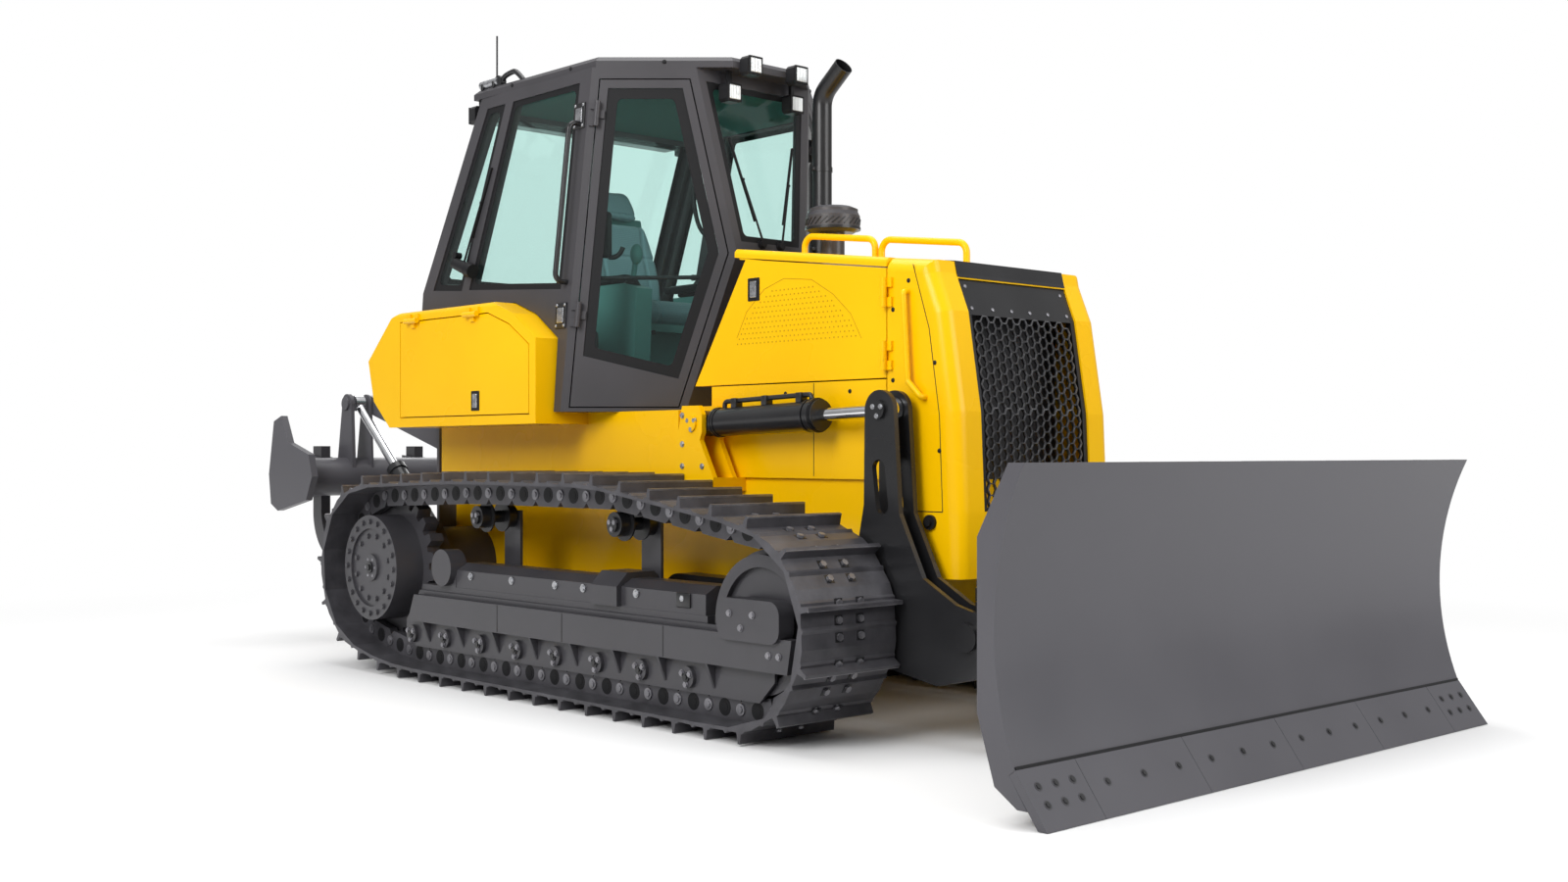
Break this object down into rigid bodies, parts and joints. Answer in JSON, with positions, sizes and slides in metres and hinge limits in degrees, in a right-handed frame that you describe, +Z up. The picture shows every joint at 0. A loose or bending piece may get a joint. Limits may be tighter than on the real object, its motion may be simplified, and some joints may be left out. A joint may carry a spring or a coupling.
{
  "type": "bulldozer",
  "caption": "Crawler bulldozer with a straight angling and tilting blade, hexagonal glass cab with hinged doors, steel tracks and a rear parallelogram ripper.",
  "frame": {"origin": "on the ground under the middle of the whole machine", "axes": "+X forward towards the blade, +Y to the machine's left, +Z up"},
  "size_m": [6.434, 2.95, 3.367],
  "materials": {
    "yellow_paint": "gloss",
    "grey_paint": "satin",
    "blade_paint": "satin",
    "black_paint": "satin",
    "track_paint": "satin",
    "track_steel": "worn",
    "cast_block": "cast",
    "chrome_rod": "polished",
    "tinted_glass": "clear",
    "lamp_plastic": "gloss",
    "cab_plastic": "matte",
    "seat_fabric": "woven"
  },
  "bodies": {
    "chassis": {"main_frame": "yellow_paint", "engine_block": "cast_block", "radiator": "black_paint", "hood_top": "yellow_paint", "front_cowl": "yellow_paint", "lower_side_panels": "yellow_paint", "grille": "black_paint", "exhaust_stack": "black_paint", "air_precleaner": "black_paint", "hood_rails": "yellow_paint", "cab_frame": "grey_paint", "cab_roof": "grey_paint", "cab_windows": "tinted_glass", "seat_frame": "cab_plastic", "seat_pads": "seat_fabric", "cab_controls": "cab_plastic", "box_right": "yellow_paint", "box_left": "yellow_paint", "track_frames": "track_paint", "track_right": "track_steel", "track_left": "track_steel", "sprockets": "track_paint", "idlers": "track_paint", "carrier_rollers": "track_paint", "track_rollers": "track_paint", "work_lamps": "lamp_plastic", "roof_fittings": "black_paint", "cab_rails": "black_paint", "ripper_mount": "grey_paint"},
    "push_frame": {"c_frame": "grey_paint"},
    "lift_barrels": {"lift_barrels": "grey_paint"},
    "lift_rods": {"lift_rods": "chrome_rod"},
    "yoke": {"blade_yoke": "grey_paint"},
    "angle_barrel_right": {"angle_barrel_right": "grey_paint"},
    "angle_barrel_left": {"angle_barrel_left": "grey_paint"},
    "angle_rod_right": {"angle_rod_right": "chrome_rod"},
    "angle_rod_left": {"angle_rod_left": "chrome_rod"},
    "tilt_barrel": {"tilt_barrel": "grey_paint"},
    "tilt_rod": {"tilt_rod": "chrome_rod"},
    "blade": {"blade": "blade_paint", "cutting_edge": "blade_paint"},
    "door_right": {"door_right": "grey_paint", "door_right_glass": "tinted_glass"},
    "door_left": {"door_left": "grey_paint", "door_left_glass": "tinted_glass"},
    "engine_door_right": {"engine_door_right": "yellow_paint"},
    "engine_door_left": {"engine_door_left": "yellow_paint"},
    "box_cover_right": {"box_cover_right": "yellow_paint"},
    "box_cover_left": {"box_cover_left": "yellow_paint"},
    "ripper_arm": {"ripper_arm": "grey_paint"},
    "ripper_link": {"ripper_link": "grey_paint"},
    "ripper_beam": {"ripper_beam": "grey_paint", "ripper_shanks": "track_steel"},
    "ripper_barrels": {"ripper_barrels": "grey_paint"},
    "ripper_rods": {"ripper_rods": "chrome_rod"}
  },
  "joints": [
    {"name": "blade_lift", "type": "hinge", "parent": "chassis", "child": "push_frame", "pos_m": [0.45, 0, 0.48], "axis": [0, -1, 0], "range_deg": [-10, 19]},
    {"name": "lift_barrel_swing", "type": "hinge", "parent": "chassis", "child": "lift_barrels", "pos_m": [0.567, 0, 1.273], "axis": [0, -1, 0], "range_deg": [-12.51, 23.25]},
    {"name": "lift_rod_slide", "type": "slide", "parent": "lift_barrels", "child": "lift_rods", "axis": [0.9994, 0, 0.0345], "range_m": [-0.2511, 0.1331]},
    {"name": "blade_angle", "type": "hinge", "parent": "push_frame", "child": "yoke", "pos_m": [2.56, 0, 0.43], "axis": [0, 0, 1], "range_deg": [-25, 25]},
    {"name": "angle_barrel_right_swing", "type": "hinge", "parent": "push_frame", "child": "angle_barrel_right", "pos_m": [2.197, -0.56, 0.6], "axis": [0, 0, 1], "range_deg": [-4.34, 4.34]},
    {"name": "angle_rod_right_slide", "type": "slide", "parent": "angle_barrel_right", "child": "angle_rod_right", "axis": [0.8539, 0.5204, 0], "range_m": [-0.1212, 0.1212]},
    {"name": "angle_barrel_left_swing", "type": "hinge", "parent": "push_frame", "child": "angle_barrel_left", "pos_m": [2.197, 0.56, 0.6], "axis": [0, 0, 1], "range_deg": [-4.34, 4.34]},
    {"name": "angle_rod_left_slide", "type": "slide", "parent": "angle_barrel_left", "child": "angle_rod_left", "axis": [0.8539, -0.5204, 0], "range_m": [-0.1212, 0.1212]},
    {"name": "blade_tilt", "type": "hinge", "parent": "yoke", "child": "blade", "pos_m": [2.83, 0, 0.46], "axis": [1, 0, 0], "range_deg": [-7, 7]},
    {"name": "tilt_barrel_swing", "type": "hinge", "parent": "yoke", "child": "tilt_barrel", "pos_m": [2.85, 0.33, 0.8], "axis": [1, 0, 0], "range_deg": [-3.91, 3.91]},
    {"name": "tilt_rod_slide", "type": "slide", "parent": "tilt_barrel", "child": "tilt_rod", "axis": [0, -1, 0], "range_m": [-0.0435, 0.0435]},
    {"name": "ripper_lift", "type": "hinge", "parent": "chassis", "child": "ripper_arm", "pos_m": [-1.95, 0, 0.535], "axis": [0, 1, 0], "range_deg": [-55, 0]},
    {"name": "ripper_link_swing", "type": "hinge", "parent": "chassis", "child": "ripper_link", "pos_m": [-1.95, 0, 1.198], "axis": [0, 1, 0], "range_deg": [-55.5, 0.5]},
    {"name": "ripper_beam_swing", "type": "hinge", "parent": "ripper_arm", "child": "ripper_beam", "pos_m": [-2.85, 0, 0.775], "axis": [0, 1, 0], "range_deg": [-0.5, 55.5]},
    {"name": "ripper_barrel_swing", "type": "hinge", "parent": "chassis", "child": "ripper_barrels", "pos_m": [-1.85, 0, 0.6], "axis": [0, 1, 0], "range_deg": [-39.39, 0.57]},
    {"name": "ripper_rod_slide", "type": "slide", "parent": "ripper_barrels", "child": "ripper_rods", "axis": [-0.7665, 0, 0.6423], "range_m": [-0.4774, 0.002]},
    {"name": "cab_door_right", "type": "hinge", "parent": "chassis", "child": "door_right", "pos_m": [-0.16612, -0.827, 1.361], "axis": [-0.0627, -0.0682, -0.9957], "range_deg": [0, 75]},
    {"name": "cab_door_left", "type": "hinge", "parent": "chassis", "child": "door_left", "pos_m": [-0.16612, 0.827, 1.361], "axis": [0.0627, -0.0682, 0.9957], "range_deg": [0, 75]},
    {"name": "engine_door_right", "type": "hinge", "parent": "chassis", "child": "engine_door_right", "pos_m": [1.615, -0.52, 1.45], "axis": [0, 0, -1], "range_deg": [-100, 0]},
    {"name": "box_cover_right", "type": "hinge", "parent": "chassis", "child": "box_cover_right", "pos_m": [-1, -0.97, 1.833], "axis": [1, 0, 0], "range_deg": [-85, 0]},
    {"name": "engine_door_left", "type": "hinge", "parent": "chassis", "child": "engine_door_left", "pos_m": [1.615, 0.52, 1.45], "axis": [0, 0, 1], "range_deg": [-100, 0]},
    {"name": "box_cover_left", "type": "hinge", "parent": "chassis", "child": "box_cover_left", "pos_m": [-1, 0.97, 1.833], "axis": [-1, 0, 0], "range_deg": [-85, 0]}
  ],
  "couplings": [
    {"joint": "lift_barrel_swing", "follows": "blade_lift", "ratio": 1.1934},
    {"joint": "lift_rod_slide", "follows": "blade_lift", "m_per_rad": -0.75113},
    {"joint": "angle_barrel_right_swing", "follows": "blade_angle", "ratio": -0.15074},
    {"joint": "angle_rod_right_slide", "follows": "blade_angle", "m_per_rad": 0.27329},
    {"joint": "angle_barrel_left_swing", "follows": "blade_angle", "ratio": -0.15074},
    {"joint": "angle_rod_left_slide", "follows": "blade_angle", "m_per_rad": -0.27329},
    {"joint": "tilt_barrel_swing", "follows": "blade_tilt", "ratio": 0.47616},
    {"joint": "tilt_rod_slide", "follows": "blade_tilt", "m_per_rad": 0.33979},
    {"joint": "ripper_link_swing", "follows": "ripper_lift", "ratio": 1},
    {"joint": "ripper_beam_swing", "follows": "ripper_lift", "ratio": -1},
    {"joint": "ripper_barrel_swing", "follows": "ripper_lift", "ratio": 0.70576},
    {"joint": "ripper_rod_slide", "follows": "ripper_lift", "m_per_rad": 0.49521}
  ]
}
